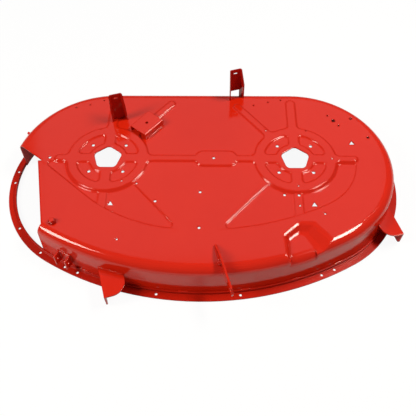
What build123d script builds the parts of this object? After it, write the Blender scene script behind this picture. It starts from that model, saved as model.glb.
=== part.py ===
"""Shell of a two-spindle riding mower deck: one deep steel pressing with a rim ring and welded brackets.

X runs along the spindle line, the grass leaves at the -X end, the bowed front edge faces -Y, and Z = 0 is
the underside of the rim. The deck hangs turned by DRIVE_ANGLE under its tractor, so that the two blades
overlap in the direction of travel, and its hangers and wheel brackets stand square to that direction.
"""

import os
from math import asin, atan, cos, degrees, hypot, radians, sin, sqrt, tan

from build123d import *

# Pressed shell: two blade circles, a straight rear and a bowed front
SHEET = 2.7
SPINDLE_SPACING = 549.0
DECK_HEIGHT = 110.0
END_RADIUS = 284.0
END_SETBACK = 12.5
FRONT_REACH = 371.0
SKIRT_FLARE = 9.4
SHOULDER_RADIUS = 26.0
DRIVE_ANGLE = 17.0

# Embossing of the top: pads and ribs stand up, the moats round the pads are sunk
WALL_SLOPE = 48.0
PAD_RISE = 4.0
PAD_RADIUS = 121.0
MOAT_DROP = 3.0
JOIN_ROUND = 9.0
RIB_WIDTH = 26.0
REAR_RIB_WIDTH = 32.0
REAR_RIB_REACH = 238.0
FAN_RIB_REACH_LEFT = 296.0
FAN_RIB_REACH_RIGHT = 280.0
FAN_RIB_ANGLE = 51.5
SIDE_RIB_REACH_RIGHT = 184.0
SIDE_RIB_REACH_LEFT = 158.0
CENTRE_PAD_X = 44.0
CENTRE_PAD_LENGTH = 122.0
CENTRE_PAD_WIDTH = 60.0
CENTRE_PAD_ROUND = 27.0
POCKET_INNER = 53.0
POCKET_OUTER = 93.0
POCKET_ROUND = 11.0
POCKET_DEPTH = 3.5
SPOKE_WIDTH = 27.0
MOAT_RADIUS = 178.0
MOAT_REACH = 245.0
MOAT_ANGLE = 48.4
MOAT_END_LEFT = 206.0
MOAT_KNEE_LEFT = (-50.0, -133.0)
MOAT_INNER = 105.0
MOAT_ROUND = 8.0
MOAT_REAR_GAP = 18.0
FRONT_RIB_WIDTH = 26.0
FRONT_RIB_RISE = 1.8

# Recess in the front shoulder, from the right spindle: its edge in the top and the edge of its floor
RECESS_DEPTH = 14.0
RECESS_SLOPE = 60.0
RECESS_EDGE = ((-52.0, 113.0), (-5.0, 157.0), (40.0, 157.0), (86.0, 101.0))
RECESS_EDGE_ROUND = 18.0
RECESS_FLOOR = ((-30.0, 105.0), (-4.0, 123.0), (8.0, 119.0), (32.0, 78.0))
RECESS_FLOOR_ROUND = 6.0
RECESS_MOUTH = (-36.0, 46.0)
RECESS_CURVE = ((0.0, 0.0), (0.3, 0.12), (0.7, 0.88), (1.0, 1.0))

# Holes in the top
HUB_RADIUS = 44.0
HUB_ROUND = 14.0
SPINDLE_BOLT_SPACING = 98.5
SPINDLE_BOLT_HOLE = 9.5
BOLT_HOLE = 8.0
SCREW_HOLE = 5.5
PIN_HOLE = 4.5
SMALL_HOLE_SIDES = 12
TUNING_HOLE = 11.0
LANCE_SIZE = 9.5
BOLT_HOLES_MIDDLE = ((0.0, -120.0), (0.0, -238.0), (37.0, 0.0))
BOLT_HOLES_RIGHT = ((-38.0, -126.0), (2.0, -128.0), (182.0, 162.0), (224.0, 85.0))
BOLT_HOLES_LEFT = ((150.0, -152.0), (-172.0, 2.0))
SCREW_HOLES_RIGHT = ((112.0, 174.0), (142.0, 133.0), (2.0, -163.0), (68.0, -190.0))
SCREW_HOLES_LEFT = ((93.0, -91.0), (57.0, -276.0))
PIN_HOLES_RIGHT = ((-115.0, 217.0), (-69.0, 231.0), (-29.0, 240.0), (-81.0, 108.0), (40.0, 108.0),
                   (107.0, 0.0), (2.0, -99.0))
PIN_HOLES_LEFT = ((-124.0, 205.0), (-82.0, 217.0), (-40.0, 236.0), (-34.0, 113.0), (50.0, -85.0))
TUNING_HOLE_PLACE = (128.0, 153.0)
LANCES_RIGHT = ((43.0, -159.0), (173.0, 62.0))
LANCE_LEFT = (25.0, -160.0)

# Discharge end, from the left spindle: the slanted rear edge, the gap and the front plate
DISCHARGE_REAR = ((-193.0, -9.0), (-308.0, 78.0))
DISCHARGE_FRONT = ((-233.0, -338.0), (-155.0, -229.0), (-205.0, -10.0))

# Rim ring
RIM_WIDTH = 23.1
RIM_SHEET = 3.0
RIM_HEIGHT = 12.0
RIM_HOLE = 7.5
RIM_HOLE_OFFSET = 11.0
RIM_HOLES_FRONT = (-376.0, -338.0, -115.0, 113.0, 337.0, 374.0)
RIM_HOLES_END = (172.0, 180.0, 213.0, 234.0)

# Rear hangers
HANGER_SHEET = 3.0
HANGER_WIDTH = 35.0
HANGER_RISE = 102.0
HANGER_SPLAY = 6.0
HANGER_BEND = 5.0
HANGER_LIP = 7.0
HANGER_SLOT = (11.0, 6.0)
HANGER_SLOT_DROP = 15.0
HANGER_RIGHT_X = 100.5
HANGER_RIGHT_INSET = 4.0
HANGER_RIGHT_DEPTH = 24.0
HANGER_RIGHT_WINDOW = 18.0
HANGER_RIGHT_SHOULDER = 54.0
HANGER_LEFT_PLACE = (18.0, 160.5)
HANGER_LEFT_DEPTH = 14.0
HANGER_LEFT_SHOULDER = 52.0

# Front hanger bar
BAR_SHEET = 5.0
BAR_LENGTH = 152.0
BAR_RISE = 26.0
BAR_X = 44.0
BAR_INSET = 79.0
BAR_HEEL = 6.0
BAR_FOOT = 12.0
BAR_RAMP = 40.0
BAR_NOSE = 11.0
BAR_LIP = 2.0
BAR_HOLE = 10.0
BAR_HOLE_LEVEL = 12.0
BAR_BOSS = 10.0
BAR_BOSS_LENGTH = 9.0
BAR_BOSS_PLACE = (58.0, 10.0)

# Gauge wheel brackets
GAUGE_SHEET = 4.0
GAUGE_LEVEL = 55.0
GAUGE_STANDOFF = 12.0
GAUGE_LEFT_X = -268.0
GAUGE_LEFT_LENGTH = 85.0
GAUGE_LEFT_WIDTH = 62.0
GAUGE_RIGHT_AZIMUTH = -25.5
GAUGE_RIGHT_LENGTH = 82.0
GAUGE_RIGHT_WIDTH = 54.0
GAUGE_DROP = 48.0
GAUGE_ROUND = 40.0
GAUGE_HEEL = 45.0

# Deflector hinge, belt keeper, stud and peg
HINGE_X = -365.5
HINGE_WIDTH = 39.0
HINGE_DEPTH = 25.0
HINGE_BOTTOM = 25.0
HINGE_TOP = 62.0
HINGE_HOLE = 8.0
HINGE_SETBACK = 11.0
HINGE_SHEET = 4.0
HINGE_SEAT = 1.2
BRACKET_SHEET = 3.0
BRACKET_BEND = 5.0
KEEPER_LENGTH = 79.0
KEEPER_WIDTH = 63.0
KEEPER_RISE = 20.0
KEEPER_REACH = 163.0
KEEPER_OFFSET = 7.0
STUD_PLACE = (-124.5, -223.0)
STUD_DIAMETER = 14.0
STUD_RISE = 12.0
PEG_AZIMUTH = 153.0
PEG_DIAMETER = 9.0
PEG_LENGTH = 19.0
PEG_DROP = 32.0

SPINDLE = SPINDLE_SPACING / 2
RIM_OUTER = SKIRT_FLARE + RIM_WIDTH
MOAT_INSET = MOAT_DROP * tan(radians(WALL_SLOPE))
SKIRT_TAPER = degrees(atan(SKIRT_FLARE / DECK_HEIGHT))
BAR_START = (BAR_X, BAR_INSET - FRONT_REACH)
BAR_TIP = BAR_START[1] - BAR_LENGTH * cos(radians(DRIVE_ANGLE)) - BAR_SHEET / 2 * sin(radians(DRIVE_ANGLE))
SPINDLE_Y = -(END_RADIUS - END_SETBACK + RIM_OUTER + BAR_TIP) / 2
DECK = Plane((0, SPINDLE_Y, 0))


def front_centre(setback, end_radius, reach):
    """Distance behind the spindle line of the centre of the front arc that is tangent to both end arcs."""
    run = end_radius - reach
    return (run**2 - setback**2 - SPINDLE**2) / (2 * (run + setback))


def around(end_x, radius, azimuth):
    """Point at a radius and an azimuth round the centre of one end of the deck."""
    angle = radians(azimuth)
    return (end_x + radius * cos(angle), radius * sin(angle) - END_SETBACK)


def front_edge(x, grow):
    """Point of the bowed front edge of the deck, grown outward."""
    back = front_centre(END_SETBACK, END_RADIUS, FRONT_REACH)
    return (x, back - sqrt((FRONT_REACH + grow + back)**2 - x**2))


def front_heading(x):
    """Heading of the bowed front edge."""
    back = front_centre(END_SETBACK, END_RADIUS, FRONT_REACH)
    return degrees(asin(x / (FRONT_REACH + back)))


def lying(point, level, heading):
    """Horizontal plane at a point of the deck, with x along the heading and -y away from the deck."""
    angle = radians(heading)
    return Plane((point[0], point[1] + SPINDLE_Y, level), x_dir=(cos(angle), sin(angle), 0))


def facing(point, level, heading):
    """Upright plane at a point of the deck, with x along the heading, y up and z away from the deck."""
    flat = lying(point, level, heading)
    return Plane(flat.origin, x_dir=flat.x_dir, z_dir=-flat.y_dir)


def edgewise(point, level, heading):
    """Upright plane at a point of the deck, with x pointing away from the deck and y up."""
    flat = lying(point, level, heading)
    return Plane(flat.origin, x_dir=-flat.y_dir, z_dir=-flat.x_dir)


def deck_plan(level, grow):
    """Plan of the deck: two end arcs round the blades, a straight rear and a bowed front."""
    radius = END_RADIUS + grow
    back = front_centre(END_SETBACK, END_RADIUS, FRONT_REACH)
    bow = hypot(SPINDLE, back + END_SETBACK)
    front = (SPINDLE * (1 + radius / bow), -END_SETBACK - radius * (back + END_SETBACK) / bow)
    rear = (SPINDLE, radius - END_SETBACK)
    with BuildSketch(level) as plan:
        with BuildLine():
            Line(rear, (-rear[0], rear[1]))
            ThreePointArc((-rear[0], rear[1]), (-SPINDLE - radius, -END_SETBACK), (-front[0], front[1]))
            ThreePointArc((-front[0], front[1]), (0, -FRONT_REACH - grow), front)
            ThreePointArc(front, (SPINDLE + radius, -END_SETBACK), rear)
        make_face()
    return plan.sketch


def rib(centre_x, angle, reach, width):
    """Round-ended rib that runs out from a spindle."""
    run = reach - width / 2
    with Locations((centre_x + run / 2 * cos(radians(angle)), run / 2 * sin(radians(angle)))):
        SlotCenterToCenter(run, width, rotation=angle)


def raised_plan(level, grow, rounded):
    """Plan of what stands up: both spindle pads, the ribs that leave them and the centre pad."""
    pad = PAD_RADIUS + grow
    width = RIB_WIDTH + 2 * grow
    with BuildSketch(level) as plan:
        with Locations((-SPINDLE, 0), (SPINDLE, 0)):
            Circle(pad)
        Rectangle(SPINDLE_SPACING, width)
        with Locations((CENTRE_PAD_X, 0)):
            RectangleRounded(CENTRE_PAD_LENGTH + 2 * grow, CENTRE_PAD_WIDTH + 2 * grow, CENTRE_PAD_ROUND)
        for side, fan, fan_reach, side_reach in (
                (-1, FAN_RIB_ANGLE, FAN_RIB_REACH_LEFT, SIDE_RIB_REACH_LEFT),
                (1, 180 - FAN_RIB_ANGLE, FAN_RIB_REACH_RIGHT, SIDE_RIB_REACH_RIGHT)):
            rib(side * SPINDLE, 90, REAR_RIB_REACH + grow, REAR_RIB_WIDTH + 2 * grow)
            rib(side * SPINDLE, fan, fan_reach + grow, width)
            rib(side * SPINDLE, 90 - 90 * side, side_reach + grow, width)
        joins = [v for v in plan.vertices() if abs(hypot(abs(v.X) - SPINDLE, v.Y) - pad) < 0.01]
        if rounded:
            fillet(joins, JOIN_ROUND)
    return plan.sketch


def pocket_plan(level, grow, rounded):
    """Plan of the quarter pockets in both pads."""
    spoke = SPOKE_WIDTH - 2 * grow
    span = 3 * POCKET_OUTER
    with BuildSketch(level) as plan:
        with Locations((-SPINDLE, 0), (SPINDLE, 0)):
            Circle(POCKET_OUTER + grow)
            Circle(POCKET_INNER - grow, mode=Mode.SUBTRACT)
            Rectangle(spoke, span, mode=Mode.SUBTRACT)
            Rectangle(span, spoke, mode=Mode.SUBTRACT)
        if rounded:
            fillet(plan.vertices(), POCKET_ROUND)
    return plan.sketch


def moat_plan(level, grow, rounded):
    """Plan of the sunk moats in front of both pads, which end at the side ribs."""
    radius = MOAT_RADIUS + grow
    back = front_centre(0, MOAT_RADIUS, MOAT_REACH)
    bow = hypot(SPINDLE, back)
    sweep = MOAT_REACH + back + grow
    turn = (SPINDLE * (1 + radius / bow), -radius * back / bow)
    across = cos(radians(MOAT_ANGLE))
    along = sin(radians(MOAT_ANGLE))
    lean = back * along - SPINDLE * across
    fall = sqrt(lean**2 - SPINDLE**2 - back**2 + sweep**2) - lean
    tip = (SPINDLE - fall * across, -fall * along)
    middle = (tip[0] + turn[0]) / 2
    with BuildSketch(level) as plan:
        with BuildLine():
            Line((SPINDLE, 0), tip)
            ThreePointArc(tip, (middle, back - sqrt(sweep**2 - middle**2)), turn)
            ThreePointArc(turn, (SPINDLE + radius * cos(radians(30)), -radius / 2), (SPINDLE + radius, 0))
            Line((SPINDLE + radius, 0), (SPINDLE, 0))
        make_face()
        slant = atan(MOAT_KNEE_LEFT[1] / (MOAT_KNEE_LEFT[0] + MOAT_END_LEFT))
        knee = (MOAT_KNEE_LEFT[0] - SPINDLE + grow * sin(slant), MOAT_KNEE_LEFT[1] - grow * cos(slant))
        with BuildLine():
            left_end = (knee[0] - knee[1] / tan(slant), 0)
            Line((-SPINDLE, 0), left_end)
            Line(left_end, knee)
            TangentArc(knee, (-tip[0], tip[1]), tangent=(cos(slant), sin(slant)))
            Line((-tip[0], tip[1]), (-SPINDLE, 0))
        make_face()
        with Locations((-SPINDLE, 0), (SPINDLE, 0)):
            Circle(MOAT_INNER, mode=Mode.SUBTRACT)
            Rectangle(3 * MOAT_RADIUS, MOAT_REAR_GAP - 2 * grow, mode=Mode.SUBTRACT)
        bends = (turn, knee)
        corners = [v for v in plan.vertices() if min(hypot(v.X - x, v.Y - y) for x, y in bends) > 1]
        if rounded:
            fillet(corners, MOAT_ROUND)
    return plan.sketch


def recess_plan(level, share, grow):
    """Plan of the front recess at a share of the way across its wall; it runs out over the skirt."""
    out = -FRONT_REACH - 2 * SHOULDER_RADIUS
    inner = [(edge[0] + share * (floor[0] - edge[0]), edge[1] + share * (floor[1] - edge[1]) - FRONT_REACH)
             for edge, floor in zip(RECESS_EDGE, RECESS_FLOOR)]
    with BuildSketch(level) as plan:
        with Locations((SPINDLE, 0)):
            Polygon((RECESS_MOUTH[0], out), *inner, (RECESS_MOUTH[1] + inner[-1][0], out), align=None)
        rounding = RECESS_EDGE_ROUND + share * (RECESS_FLOOR_ROUND - RECESS_EDGE_ROUND)
        fillet(plan.vertices().sort_by(Axis.Y)[2:], rounding)
        offset(amount=grow)
    return plan.sketch


def bowl_form(level, gauge):
    """Skirt and shoulder up to a level, at a distance inside the outer surface."""
    with BuildPart() as bowl:
        add(deck_plan(DECK, SKIRT_FLARE - gauge))
        extrude(amount=level, taper=SKIRT_TAPER)
        fillet(bowl.faces().sort_by(Axis.Z)[-1].edges(), SHOULDER_RADIUS - gauge)
    return bowl.part


def recess_form(top, gauge):
    """What the front recess takes from the pressing: a scoop, with the shoulder carried on round its floor."""
    ease = gauge * tan(radians(45 - RECESS_SLOPE / 2))
    floor = top - RECESS_DEPTH
    levels = [recess_plan(DECK.offset(top - depth * RECESS_DEPTH), share, ease).face()
              for share, depth in RECESS_CURVE]
    with BuildPart() as scoop:
        loft(levels, ruled=True)
        add(recess_plan(DECK.offset(floor), 1, ease))
        extrude(amount=-SHOULDER_RADIUS)
        add(bowl_form(floor, gauge), mode=Mode.SUBTRACT)
    return scoop.part


def body_form(gauge, rounded):
    """Skirt, shoulder, moats and front recess of the pressing, at a distance inside its outer surface."""
    top = DECK_HEIGHT - gauge
    ease = gauge * tan(radians(45 - WALL_SLOPE / 2))
    with BuildPart() as form:
        add(bowl_form(top, gauge))
        add(moat_plan(DECK.offset(top - MOAT_DROP), ease - MOAT_INSET, rounded))
        extrude(amount=MOAT_DROP, taper=-WALL_SLOPE, mode=Mode.SUBTRACT)
        with BuildSketch(DECK.offset(top - MOAT_DROP)):
            with Locations((-SPINDLE, 0), (SPINDLE, 0)):
                Rectangle(FRONT_RIB_WIDTH - 2 * ease, 2 * MOAT_REACH)
        extrude(amount=FRONT_RIB_RISE, taper=WALL_SLOPE)
        add(recess_form(top, gauge), mode=Mode.SUBTRACT)
    return form.part


def pad_form(gauge, rounded):
    """Spindle pads, ribs and centre pad of the pressing, at a distance inside its outer surface."""
    ease = gauge * tan(radians(45 - WALL_SLOPE / 2))
    lid = DECK_HEIGHT + PAD_RISE - gauge
    with BuildPart() as form:
        add(raised_plan(DECK.offset(lid - PAD_RISE - MOAT_DROP), MOAT_INSET - ease, rounded))
        extrude(amount=PAD_RISE + MOAT_DROP, taper=WALL_SLOPE)
        add(pocket_plan(DECK.offset(lid), ease, rounded))
        extrude(amount=-POCKET_DEPTH, taper=WALL_SLOPE, mode=Mode.SUBTRACT)
    return form.part


def hole_plan(level):
    """Plan of every hole in the top: hubs, spindle bolts and the fixing holes of covers, belts and idlers."""
    with BuildSketch(level) as plan:
        with Locations((-SPINDLE, 0), (SPINDLE, 0)):
            RegularPolygon(HUB_RADIUS, 5, rotation=90)
        fillet(plan.vertices(), HUB_ROUND)
        with Locations((-SPINDLE, 0), (SPINDLE, 0)):
            with GridLocations(SPINDLE_BOLT_SPACING, SPINDLE_BOLT_SPACING, 2, 2):
                Circle(SPINDLE_BOLT_HOLE / 2)
        with Locations(*BOLT_HOLES_MIDDLE):
            RegularPolygon(BOLT_HOLE / 2, SMALL_HOLE_SIDES)
        with Locations((SPINDLE, 0)):
            with Locations(*BOLT_HOLES_RIGHT):
                RegularPolygon(BOLT_HOLE / 2, SMALL_HOLE_SIDES)
            with Locations(*SCREW_HOLES_RIGHT):
                RegularPolygon(SCREW_HOLE / 2, SMALL_HOLE_SIDES)
            with Locations(*PIN_HOLES_RIGHT):
                RegularPolygon(PIN_HOLE / 2, SMALL_HOLE_SIDES)
            with Locations(TUNING_HOLE_PLACE):
                Circle(TUNING_HOLE / 2)
        with Locations((-SPINDLE, 0)):
            with Locations(*BOLT_HOLES_LEFT):
                RegularPolygon(BOLT_HOLE / 2, SMALL_HOLE_SIDES)
            with Locations(*SCREW_HOLES_LEFT):
                RegularPolygon(SCREW_HOLE / 2, SMALL_HOLE_SIDES)
            with Locations(*PIN_HOLES_LEFT):
                RegularPolygon(PIN_HOLE / 2, SMALL_HOLE_SIDES)
    return plan.sketch


def lance_plan(level):
    """Plan of the triangular lanced holes."""
    with BuildSketch(level) as plan:
        with Locations((-SPINDLE, 0)):
            with Locations(LANCE_LEFT):
                RegularPolygon(LANCE_SIZE, 3, rotation=90)
        with Locations((SPINDLE, 0)):
            with Locations(*LANCES_RIGHT):
                RegularPolygon(LANCE_SIZE, 3, rotation=90)
    return plan.sketch


def discharge_plan(level):
    """Plan of what is cut away at the left end, where the grass leaves."""
    far = 2 * END_RADIUS
    with BuildSketch(level) as plan:
        with Locations((-SPINDLE, 0)):
            Polygon(*DISCHARGE_REAR, (-far, DISCHARGE_REAR[-1][1]), (-far, DISCHARGE_FRONT[0][1]),
                    *DISCHARGE_FRONT, align=None)
    return plan.sketch


with BuildPart() as outer_form:
    add(body_form(0, True))
    add(pad_form(0, True))

with BuildPart() as inner_form:
    add(body_form(SHEET, False))
    add(pad_form(SHEET, False))

with BuildPart() as deck_shell:
    add(outer_form.part)
    add(inner_form.part, mode=Mode.SUBTRACT)
    floor = DECK_HEIGHT - RECESS_DEPTH - 2 * SHEET
    add(hole_plan(DECK.offset(floor)))
    add(lance_plan(DECK.offset(floor)))
    extrude(amount=DECK_HEIGHT, mode=Mode.SUBTRACT)
    add(discharge_plan(DECK))
    extrude(amount=2 * DECK_HEIGHT, mode=Mode.SUBTRACT)

with BuildPart() as rim_ring:
    add(deck_plan(DECK, RIM_OUTER))
    extrude(amount=RIM_SHEET)
    add(deck_plan(DECK, SKIRT_FLARE + RIM_SHEET))
    extrude(amount=RIM_HEIGHT)
    add(outer_form.part, mode=Mode.SUBTRACT)
    middle = SKIRT_FLARE + RIM_HOLE_OFFSET
    front_holes = [front_edge(x, middle) for x in RIM_HOLES_FRONT]
    end_holes = [around(-SPINDLE, END_RADIUS + middle, azimuth) for azimuth in RIM_HOLES_END]
    with BuildSketch(DECK):
        with Locations(*front_holes, *end_holes):
            RegularPolygon(RIM_HOLE / 2, SMALL_HOLE_SIDES)
    extrude(amount=RIM_SHEET, mode=Mode.SUBTRACT)


def hanger(foot, depth, window, shoulder):
    """Channel that stands on the deck, open to the front, with sloping flange tops and a slot in its web."""
    half = HANGER_WIDTH / 2
    with BuildPart() as channel:
        with BuildSketch(lying(foot, DECK_HEIGHT - SHOULDER_RADIUS, DRIVE_ANGLE)):
            with BuildLine():
                FilletPolyline((-half - HANGER_SPLAY, -depth), (-half, 0), (half, 0),
                               (half + HANGER_SPLAY, -depth), radius=HANGER_BEND)
                offset(amount=HANGER_SHEET, side=Side.RIGHT)
            make_face()
        extrude(amount=SHOULDER_RADIUS + HANGER_RISE)
        with BuildSketch(edgewise(foot, DECK_HEIGHT, DRIVE_ANGLE)):
            Polygon((HANGER_LIP, HANGER_RISE), (depth, shoulder), (2 * depth, shoulder),
                    (2 * depth, HANGER_RISE), align=None)
        extrude(amount=HANGER_WIDTH, both=True, mode=Mode.SUBTRACT)
        with BuildSketch(facing(foot, DECK_HEIGHT, DRIVE_ANGLE)):
            with Locations((0, HANGER_RISE - HANGER_SLOT_DROP)):
                Rectangle(*HANGER_SLOT)
        extrude(amount=HANGER_BEND, both=True, mode=Mode.SUBTRACT)
        if window > 0:
            with BuildSketch(facing(foot, DECK_HEIGHT, DRIVE_ANGLE)):
                with Locations((0, window - SHOULDER_RADIUS)):
                    Rectangle(HANGER_WIDTH - 2 * HANGER_SHEET, 2 * SHOULDER_RADIUS)
            extrude(amount=HANGER_BEND, both=True, mode=Mode.SUBTRACT)
        add(outer_form.part, mode=Mode.SUBTRACT)
    return channel.part


with BuildPart() as rear_hanger_right:
    right_foot = (HANGER_RIGHT_X, END_RADIUS - END_SETBACK - HANGER_RIGHT_INSET)
    add(hanger(right_foot, HANGER_RIGHT_DEPTH, HANGER_RIGHT_WINDOW, HANGER_RIGHT_SHOULDER))

with BuildPart() as rear_hanger_left:
    left_foot = (HANGER_LEFT_PLACE[0] - SPINDLE, HANGER_LEFT_PLACE[1])
    add(hanger(left_foot, HANGER_LEFT_DEPTH, 0, HANGER_LEFT_SHOULDER))

with BuildPart() as front_hanger_bar:
    with BuildSketch(edgewise(BAR_START, DECK_HEIGHT, DRIVE_ANGLE)) as bar_side:
        nose = BAR_LENGTH - BAR_NOSE
        Polygon((0, -BAR_LIP), (0, BAR_HEEL), (BAR_RAMP, BAR_RISE), (nose, BAR_RISE - BAR_LIP),
                (BAR_LENGTH, BAR_HEEL + BAR_LIP), (BAR_LENGTH - BAR_LIP, -BAR_LIP),
                (BAR_INSET + BAR_HEEL, -BAR_FOOT), (BAR_RAMP + BAR_FOOT, -BAR_FOOT), align=None)
        with Locations((nose, BAR_HOLE_LEVEL)):
            Circle(BAR_HOLE / 2, mode=Mode.SUBTRACT)
    extrude(amount=BAR_SHEET / 2, both=True)
    with BuildSketch(edgewise(BAR_START, DECK_HEIGHT, DRIVE_ANGLE)):
        with Locations(BAR_BOSS_PLACE):
            Circle(BAR_BOSS / 2)
    extrude(amount=BAR_SHEET / 2 + BAR_BOSS_LENGTH)
    add(outer_form.part, mode=Mode.SUBTRACT)


def gauge_bracket(corner, length, width):
    """Wheel bracket on the skirt: a level plate with a round corner and a flange down its straight side."""
    side = GAUGE_SHEET if width > 0 else -GAUGE_SHEET
    with BuildPart() as bracket:
        with BuildSketch(lying(corner, GAUGE_LEVEL - GAUGE_SHEET, DRIVE_ANGLE)) as plate:
            Polygon((0, GAUGE_HEEL), (0, -length), (width, -length), (width, GAUGE_HEEL), align=None)
            fillet(plate.vertices().sort_by_distance((width, -length))[0], GAUGE_ROUND)
        extrude(amount=GAUGE_SHEET)
        with BuildSketch(edgewise(corner, GAUGE_LEVEL, DRIVE_ANGLE)) as flange:
            Polygon((-GAUGE_HEEL, 0), (-GAUGE_HEEL, -GAUGE_DROP / 2), (0, -GAUGE_DROP / 2),
                    (length - GAUGE_DROP, -GAUGE_DROP), (length, -GAUGE_DROP), (length, 0), align=None)
            fillet(flange.vertices().sort_by_distance((length, -GAUGE_DROP))[0], GAUGE_DROP / 6)
        extrude(amount=-side)
        add(outer_form.part, mode=Mode.SUBTRACT)
    return bracket.part


with BuildPart() as gauge_wheel_bracket_left:
    left_corner = front_edge(GAUGE_LEFT_X, GAUGE_STANDOFF)
    add(gauge_bracket(left_corner, GAUGE_LEFT_LENGTH, GAUGE_LEFT_WIDTH))

with BuildPart() as gauge_wheel_bracket_right:
    right_corner = around(SPINDLE, END_RADIUS + GAUGE_STANDOFF, GAUGE_RIGHT_AZIMUTH)
    add(gauge_bracket(right_corner, GAUGE_RIGHT_LENGTH, -GAUGE_RIGHT_WIDTH))

with BuildPart() as deflector_hinge_bracket:
    hinge_foot = front_edge(HINGE_X, SKIRT_FLARE * (1 - HINGE_BOTTOM / DECK_HEIGHT))
    half = HINGE_WIDTH / 2
    with BuildSketch(lying(hinge_foot, HINGE_BOTTOM, front_heading(HINGE_X)).rotated((-SKIRT_TAPER, 0, 0))):
        with BuildLine():
            FilletPolyline((-half, -HINGE_DEPTH), (-half, HINGE_SEAT), (half, HINGE_SEAT),
                           (half, -HINGE_DEPTH), radius=BRACKET_BEND)
            offset(amount=HINGE_SHEET, side=Side.RIGHT)
        make_face()
    extrude(amount=HINGE_TOP - HINGE_BOTTOM)
    with BuildSketch(edgewise(hinge_foot, (HINGE_TOP + HINGE_BOTTOM) / 2, front_heading(HINGE_X))):
        with Locations((HINGE_DEPTH - HINGE_SETBACK, 0)):
            Circle(HINGE_HOLE / 2)
    extrude(amount=HINGE_WIDTH, both=True, mode=Mode.SUBTRACT)
    add(outer_form.part, mode=Mode.SUBTRACT)

with BuildPart() as belt_keeper_bracket:
    fan = radians(FAN_RIB_ANGLE)
    start = KEEPER_REACH - KEEPER_LENGTH / 2
    keeper_foot = (start * cos(fan) + KEEPER_OFFSET * sin(fan) - SPINDLE,
                   start * sin(fan) - KEEPER_OFFSET * cos(fan))
    with BuildSketch(facing(keeper_foot, DECK_HEIGHT, FAN_RIB_ANGLE + 90)):
        with BuildLine():
            half = KEEPER_WIDTH / 2
            FilletPolyline((-half, -MOAT_DROP), (-half, KEEPER_RISE), (half, KEEPER_RISE), (half, -MOAT_DROP),
                           radius=BRACKET_BEND)
            offset(amount=BRACKET_SHEET, side=Side.RIGHT)
        make_face()
    extrude(amount=KEEPER_LENGTH)
    with BuildSketch(lying(keeper_foot, DECK_HEIGHT + PAD_RISE, FAN_RIB_ANGLE)):
        with Locations((KEEPER_LENGTH / 2, 0)):
            Circle(BOLT_HOLE / 2)
    extrude(amount=KEEPER_RISE, mode=Mode.SUBTRACT)
    add(outer_form.part, mode=Mode.SUBTRACT)

with BuildPart() as corner_stud:
    with BuildSketch(lying((STUD_PLACE[0] - SPINDLE, STUD_PLACE[1]), DECK_HEIGHT, DRIVE_ANGLE)):
        Circle(STUD_DIAMETER / 2)
    extrude(amount=STUD_RISE)

with BuildPart() as side_peg:
    peg_foot = around(-SPINDLE, END_RADIUS, PEG_AZIMUTH)
    with BuildSketch(facing(peg_foot, DECK_HEIGHT - PEG_DROP, PEG_AZIMUTH + 90)):
        Circle(PEG_DIAMETER / 2)
    extrude(amount=PEG_LENGTH)
    add(outer_form.part, mode=Mode.SUBTRACT)

os.makedirs("parts", exist_ok=True)
pieces = {
    "deck_shell": deck_shell,
    "rim_ring": rim_ring,
    "rear_hanger_left": rear_hanger_left,
    "rear_hanger_right": rear_hanger_right,
    "front_hanger_bar": front_hanger_bar,
    "gauge_wheel_bracket_left": gauge_wheel_bracket_left,
    "gauge_wheel_bracket_right": gauge_wheel_bracket_right,
    "deflector_hinge_bracket": deflector_hinge_bracket,
    "belt_keeper_bracket": belt_keeper_bracket,
    "corner_stud": corner_stud,
    "side_peg": side_peg,
}
for name, piece in pieces.items():
    piece.part.label = name
    export_step(piece.part, f"parts/{name}.step")
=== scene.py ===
"""Finish of the mower deck shell: glossy red powder coat on every pressing and bracket, in a white studio."""

from math import radians

import bpy
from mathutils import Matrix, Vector


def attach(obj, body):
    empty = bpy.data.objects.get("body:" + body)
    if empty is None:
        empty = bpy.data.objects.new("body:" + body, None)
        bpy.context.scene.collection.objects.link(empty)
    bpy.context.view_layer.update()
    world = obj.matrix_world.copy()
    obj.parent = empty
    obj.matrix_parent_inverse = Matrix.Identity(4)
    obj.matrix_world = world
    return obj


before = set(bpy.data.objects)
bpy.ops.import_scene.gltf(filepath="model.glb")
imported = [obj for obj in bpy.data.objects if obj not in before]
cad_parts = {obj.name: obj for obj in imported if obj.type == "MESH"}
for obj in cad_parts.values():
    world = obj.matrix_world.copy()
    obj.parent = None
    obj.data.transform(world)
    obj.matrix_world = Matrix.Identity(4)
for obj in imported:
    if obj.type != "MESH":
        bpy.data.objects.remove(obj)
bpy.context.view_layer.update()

# Camera: where the photograph was taken from, in metres and degrees
CAMERA_PLACE = (0.052, -0.936, 1.341)
CAMERA_TURN = (33.97, 0.69, 0.975)
CAMERA_LENS = 46.73
CAMERA_SENSOR = 36

# Powder coat: each red with the deeper red that it drifts to
COAT_RED = (0.68, 0.019, 0.004, 1)
COAT_RED_DEEP = (0.6, 0.013, 0.003, 1)
# Darker copy of the coat red for the hangers and the corner nut: painted shade
PAINTED_SHADE_RED = (0.45, 0.009, 0.003, 1)
PAINTED_SHADE_RED_DEEP = (0.37, 0.006, 0.002, 1)
# Deeper copy of the coat red for the rim: painted shade
RIM_PAINTED_SHADE_RED = (0.55, 0.014, 0.004, 1)
RIM_PAINTED_SHADE_RED_DEEP = (0.47, 0.01, 0.003, 1)
DRIFT_SCALE = 5

# Gloss of the coat, duller on the rim
COAT_ROUGHNESS = 0.08
RIM_ROUGHNESS = 0.26
ROUGHNESS_SPREAD = 0.05
SPECK_SCALE = 60
COAT_IOR = 1.5
RIM_IOR = 1.26

# Orange peel of the coat, and the rounding of edges in the sheet
PEEL_SCALE = 420
PEEL_HEIGHT = 0.00001
PEEL_STRENGTH = 0.5
PRESSED_EDGE = 0.006
FOLDED_EDGE = 0.0025
EDGE_SAMPLES = 8

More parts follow.
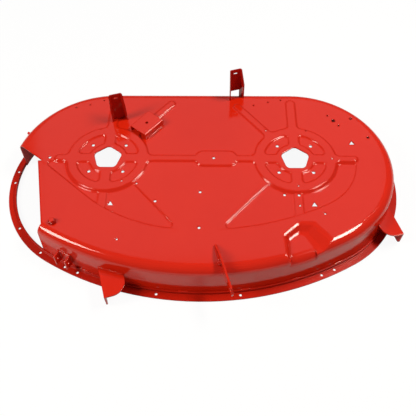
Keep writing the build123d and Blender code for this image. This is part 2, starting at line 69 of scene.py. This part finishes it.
# Weld beads, each from its start to its end
BEAD_RADIUS = 0.0024
BEAD_PITCH = 0.0026
DROP_SHAPE = (1.25, 1.0, 0.8)
WELD_SEAMS = {
    "hanger_left_outer": ((-0.2736, 0.2213, 0.1143), (-0.2753, 0.2082, 0.1143)),
    "hanger_left_inner": ((-0.2388, 0.2319, 0.1103), (-0.2301, 0.2220, 0.1103)),
    "hanger_right_outer": ((0.0837, 0.3205, 0.1090), (0.0842, 0.3055, 0.1103)),
    "hanger_right_inner": ((0.1223, 0.3323, 0.1012), (0.1303, 0.3196, 0.1093)),
    "bar_left": ((0.0418, -0.2288, 0.1103), (0.0547, -0.2708, 0.1103)),
    "bar_right": ((0.0479, -0.2269, 0.1103), (0.0608, -0.2690, 0.1103)),
    "gauge_left": ((-0.2683, -0.2642, 0.0554), (-0.2016, -0.2838, 0.0554)),
    "gauge_right": ((0.5372, -0.0652, 0.0554), (0.5025, -0.1226, 0.0554)),
    "hinge_left": ((-0.3869, -0.2165, 0.0270), (-0.3856, -0.2140, 0.0600)),
    "hinge_right": ((-0.3506, -0.2344, 0.0270), (-0.3494, -0.2318, 0.0600)),
    "keeper_front": ((-0.1620, 0.1456, 0.1103), (-0.1227, 0.1949, 0.1103)),
    "keeper_rear": ((-0.2124, 0.1856, 0.1103), (-0.1731, 0.2349, 0.1103)),
    "rim_far_left": ((-0.3290, -0.2455, 0.0122), (-0.3070, -0.2545, 0.0122)),
    "rim_left": ((-0.2160, -0.2845, 0.0122), (-0.1940, -0.2901, 0.0122)),
    "rim_middle": ((-0.0510, -0.3114, 0.0122), (-0.0290, -0.3124, 0.0122)),
    "rim_right": ((0.1170, -0.3047, 0.0122), (0.1390, -0.3013, 0.0122)),
    "rim_far_right": ((0.2510, -0.2744, 0.0122), (0.2730, -0.2671, 0.0122)),
    "rim_end": ((0.3740, -0.2246, 0.0122), (0.3960, -0.2132, 0.0122)),
}

# Tongues of the lanced holes: the middle of each hole, on the upper face of the sheet
TONGUE_RADIUS = 0.0088
TONGUE_SHEET = 0.0022
TONGUE_EDGE = 0.0005
TONGUE_BEND = -62
LANCED_HOLES = {
    "left": (-0.2495, -0.0930, 0.1065),
    "right": (0.3175, -0.0920, 0.1065),
    "rear": (0.4475, 0.1290, 0.1095),
}

# Flange nut on the corner stud
NUT_PLACE = (-0.399, -0.156, 0.11)
NUT_RADIUS = 0.0098
NUT_HEIGHT = 0.007
NUT_FLANGE = 0.0016
NUT_FLARE = 1.22
NUT_EDGE = 0.0007
NUT_TURN = 12

# Studio: each softbox with its place, turn, size, power and tint
FLOOR_SIZE = 6
FLOOR_DROP = 0.0005
WHITE = (1, 1, 1, 1)
FLOOR_GREY = (0.68, 0.68, 0.68, 1)
FLOOR_GLOW = 0.93
FLOOR_GLOSS = 0.15
DOME_LEVEL = 0.1
DOME_GLOSS = 0.05
WARM_WHITE = (1, 0.95, 0.84)
COOL_WHITE = (1, 1, 1)
SOFTBOXES = {
    "softbox_right": ((1.4, 0.2, 2.25), (0, 31, 9), (0.48, 1.12), 47, WARM_WHITE),
    "softbox_left": ((-2.14, -0.72, 2.05), (0, -48, 18), (1.4, 0.7), 56, WARM_WHITE),
    "softbox_rear": ((0, 1.62, 2.1), (-38, 0, 0), (2.7, 1.5), 6.6, COOL_WHITE),
}


class Socket:
    """One output of a paint's nodes, with arithmetic that adds Math nodes."""

    def __init__(self, paint, output):
        self.paint = paint
        self.output = output

    def _math(self, operation, first, second):
        return self.paint.node("ShaderNodeMath", {"operation": operation}, {0: first, 1: second})

    def __add__(self, other):
        return self._math("ADD", self, other)

    __radd__ = __add__

    def __mul__(self, other):
        return self._math("MULTIPLY", self, other)

    __rmul__ = __mul__


class Paint:
    """Nodes of a material, or of the world, under construction."""

    def __init__(self, owner, output="ShaderNodeOutputMaterial"):
        self.owner = owner
        owner.use_nodes = True
        self.tree = owner.node_tree
        self.tree.nodes.clear()
        self.out = self.tree.nodes.new(output)

    def node(self, kind, settings=None, inputs=None, output=0):
        made = self.tree.nodes.new(kind)
        for key, value in (settings or {}).items():
            setattr(made, key, value)
        for key, value in (inputs or {}).items():
            if isinstance(value, Socket):
                self.tree.links.new(value.output, made.inputs[key])
            else:
                made.inputs[key].default_value = value
        return Socket(self, made.outputs[output])

    def surface(self, shader):
        self.tree.links.new(shader.output, self.out.inputs["Surface"])
        return self.owner


def powder_coat(name, edge, red, deep, roughness=COAT_ROUGHNESS, ior=COAT_IOR):
    """Red powder coat with a fine orange peel, a slow drift of its depth of colour and softened edges."""
    paint = Paint(bpy.data.materials.new(name))
    place = paint.node("ShaderNodeTexCoord", output="Object")
    drift = paint.node("ShaderNodeTexNoise", inputs={"Vector": place, "Scale": DRIFT_SCALE, "Detail": 3.0})
    peel = paint.node("ShaderNodeTexNoise", inputs={"Vector": place, "Scale": PEEL_SCALE, "Detail": 1.0})
    speck = paint.node("ShaderNodeTexNoise", inputs={"Vector": place, "Scale": SPECK_SCALE, "Detail": 6.0})
    colour = paint.node("ShaderNodeMix", {"data_type": "RGBA"},
                        {"Factor": drift, "A": red, "B": deep}, output=2)
    soft = paint.node("ShaderNodeBevel", {"samples": EDGE_SAMPLES}, {"Radius": edge})
    bump = paint.node("ShaderNodeBump", inputs={
        "Strength": PEEL_STRENGTH, "Distance": PEEL_HEIGHT, "Height": peel, "Normal": soft})
    shader = paint.node("ShaderNodeBsdfPrincipled", inputs={
        "Base Color": colour, "Roughness": roughness + ROUGHNESS_SPREAD * speck, "IOR": ior, "Normal": bump})
    return paint.surface(shader)


def finish_piece(name, coat):
    """Bake the place of the active object into its mesh, and let it ride with the deck in a coat."""
    piece = bpy.context.object
    bpy.ops.object.transform_apply(location=True, rotation=True, scale=True)
    piece.name = name
    piece.data.materials.clear()
    piece.data.materials.append(coat)
    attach(piece, "root")
    bpy.ops.object.select_all(action="DESELECT")


def pattern_copy(pattern):
    """Copy of a pattern piece with its own mesh, selected by itself."""
    bpy.ops.object.select_all(action="DESELECT")
    pattern.select_set(True)
    bpy.context.view_layer.objects.active = pattern
    bpy.ops.object.duplicate()
    return bpy.context.object


def weld_drop():
    """One drop of weld, flattened and drawn out along its seam."""
    bpy.ops.mesh.primitive_uv_sphere_add(segments=8, ring_count=6, radius=BEAD_RADIUS)
    bpy.ops.object.mode_set(mode="EDIT")
    bpy.ops.transform.resize(value=DROP_SHAPE)
    bpy.ops.object.mode_set(mode="OBJECT")
    bpy.ops.object.shade_smooth()
    return bpy.context.object


def weld_bead(name, drop, start, end, coat):
    """Row of overlapping drops along a seam."""
    run = Vector(end) - Vector(start)
    bead = pattern_copy(drop)
    row = bead.modifiers.new("row", "ARRAY")
    row.count = int(run.length / BEAD_PITCH) + 1
    row.use_relative_offset = False
    row.use_constant_offset = True
    row.constant_offset_displace = (BEAD_PITCH, 0, 0)
    bpy.ops.object.modifier_apply(modifier="row")
    bead.location = start
    bead.rotation_euler = run.to_track_quat("X", "Z").to_euler()
    finish_piece("weld_" + name, coat)


def lance_tongue():
    """Triangle of sheet, bent down at its front side, which lies on the X axis."""
    bpy.ops.mesh.primitive_circle_add(vertices=3, radius=TONGUE_RADIUS, fill_type="NGON")
    tongue = bpy.context.object
    bpy.ops.object.mode_set(mode="EDIT")
    bpy.ops.mesh.select_all(action="SELECT")
    bpy.ops.mesh.extrude_region_move(TRANSFORM_OT_translate={"value": (0, 0, -TONGUE_SHEET)})
    bpy.ops.mesh.select_all(action="SELECT")
    bpy.ops.mesh.normals_make_consistent(inside=False)
    bpy.ops.transform.translate(value=(0, TONGUE_RADIUS / 2, 0))
    bpy.ops.mesh.bevel(offset=TONGUE_EDGE, segments=2, affect="EDGES")
    bpy.ops.object.mode_set(mode="OBJECT")
    tongue.rotation_euler = (radians(TONGUE_BEND), 0, 0)
    return tongue


def bend_in(name, tongue, place, coat):
    """Tongue at the front side of a lanced hole."""
    piece = pattern_copy(tongue)
    piece.location = (place[0], place[1] - TONGUE_RADIUS / 2, place[2])
    finish_piece("lance_tongue_" + name, coat)


def flange_nut(coat):
    """Hexagon nut with a flared flange, turned down on the corner stud."""
    bpy.ops.mesh.primitive_cylinder_add(vertices=6, radius=NUT_RADIUS, depth=NUT_HEIGHT)
    nut = bpy.context.object
    bpy.ops.object.mode_set(mode="EDIT")
    bpy.ops.mesh.select_all(action="DESELECT")
    bpy.ops.object.mode_set(mode="OBJECT")
    for face in nut.data.polygons:
        face.select = face.normal.z < -0.9
    bpy.ops.object.mode_set(mode="EDIT")
    bpy.ops.mesh.select_mode(type="FACE")
    bpy.ops.transform.resize(value=(NUT_FLARE, NUT_FLARE, 1))
    bpy.ops.mesh.extrude_region_move(TRANSFORM_OT_translate={"value": (0, 0, -NUT_FLANGE)})
    bpy.ops.object.mode_set(mode="OBJECT")
    edges = nut.modifiers.new("edges", "BEVEL")
    edges.width = NUT_EDGE
    edges.segments = 2
    bpy.ops.object.modifier_apply(modifier="edges")
    nut.location = (NUT_PLACE[0], NUT_PLACE[1], NUT_PLACE[2] + NUT_HEIGHT / 2 + NUT_FLANGE)
    nut.rotation_euler = (0, 0, radians(NUT_TURN))
    finish_piece("stud_nut", coat)


def white_to_camera(paint, gloss, lit, white):
    """Shader that shows its white to the camera, and through glass, with a share of it in reflections."""
    camera_ray = paint.node("ShaderNodeLightPath", output="Is Camera Ray")
    rays = camera_ray.output.node.outputs
    seen = camera_ray + gloss * Socket(paint, rays["Is Glossy Ray"]) + Socket(paint, rays["Is Transmission Ray"])
    return paint.surface(paint.node("ShaderNodeMixShader", inputs={0: seen, 1: lit, 2: white}))


def floor_paint():
    """Matt grey floor that is white to the camera, and still takes a soft shadow."""
    paint = Paint(bpy.data.materials.new("studio_floor"))
    grey = paint.node("ShaderNodeBsdfDiffuse", inputs={"Color": FLOOR_GREY})
    matt = paint.node("ShaderNodeBsdfDiffuse", inputs={"Color": WHITE})
    glow = paint.node("ShaderNodeEmission", inputs={"Color": WHITE, "Strength": 1.0})
    white = paint.node("ShaderNodeMixShader", inputs={0: FLOOR_GLOW, 1: matt, 2: glow})
    return white_to_camera(paint, FLOOR_GLOSS, grey, white)


def floor():
    bpy.ops.mesh.primitive_plane_add(size=FLOOR_SIZE, location=(0, 0, -FLOOR_DROP))
    plane = bpy.context.object
    plane.name = "studio_floor"
    plane.data.materials.append(floor_paint())


def softbox(name, place, turn, size, power, tint):
    """Area lamp that faces along its own -Z axis."""
    bpy.ops.object.light_add(type="AREA", location=place, rotation=[radians(angle) for angle in turn])
    lamp = bpy.context.object
    lamp.name = name
    lamp.data.shape = "RECTANGLE"
    lamp.data.size, lamp.data.size_y = size
    lamp.data.energy = power
    lamp.data.color = tint


def studio():
    """White dome with a softbox on each side and a large one over the rear."""
    world = bpy.data.worlds.new("studio")
    bpy.context.scene.world = world
    sky = Paint(world, "ShaderNodeOutputWorld")
    dome = sky.node("ShaderNodeBackground", inputs={"Color": WHITE, "Strength": DOME_LEVEL})
    white = sky.node("ShaderNodeBackground", inputs={"Color": WHITE, "Strength": 1.0})
    white_to_camera(sky, DOME_GLOSS, dome, white)
    for name, setting in SOFTBOXES.items():
        softbox(name, *setting)


def camera():
    bpy.ops.object.camera_add(location=CAMERA_PLACE, rotation=[radians(angle) for angle in CAMERA_TURN])
    view = bpy.context.object
    view.name = "photo_camera"
    view.data.lens = CAMERA_LENS
    view.data.sensor_width = CAMERA_SENSOR
    bpy.context.scene.camera = view


bpy.ops.object.select_all(action="DESELECT")
bpy.context.scene.view_settings.view_transform = "Standard"

# Coats of the pressings and brackets
pressed_coat = powder_coat("pressed_red_coat", PRESSED_EDGE, COAT_RED, COAT_RED_DEEP)
folded_coat = powder_coat("folded_red_coat", FOLDED_EDGE, COAT_RED, COAT_RED_DEEP)
# The hangers' coat is a darker copy of the coat red: painted shade
painted_shade_coat = powder_coat("painted_shade_red_coat", FOLDED_EDGE, PAINTED_SHADE_RED, PAINTED_SHADE_RED_DEEP)
# The rim's coat is a deeper copy of the coat red, painted shade, and duller
rim_shaded_coat = powder_coat("rim_shaded_red_coat", FOLDED_EDGE, RIM_PAINTED_SHADE_RED, RIM_PAINTED_SHADE_RED_DEEP, RIM_ROUGHNESS, RIM_IOR)
coats = {"deck_shell": pressed_coat, "rim_ring": rim_shaded_coat,
         "rear_hanger_left": painted_shade_coat, "rear_hanger_right": painted_shade_coat}
for name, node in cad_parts.items():
    for place in node.material_slots:
        place.material = coats.get(name, folded_coat)

# Welds, tongues and the nut
drop = weld_drop()
for name, (start, end) in WELD_SEAMS.items():
    weld_bead(name, drop, start, end, folded_coat)
bpy.data.objects.remove(drop)
tongue = lance_tongue()
for name, place in LANCED_HOLES.items():
    bend_in(name, tongue, place, folded_coat)
bpy.data.objects.remove(tongue)
# The nut takes the darker red of the hangers: painted shade
flange_nut(painted_shade_coat)

floor()
studio()
camera()
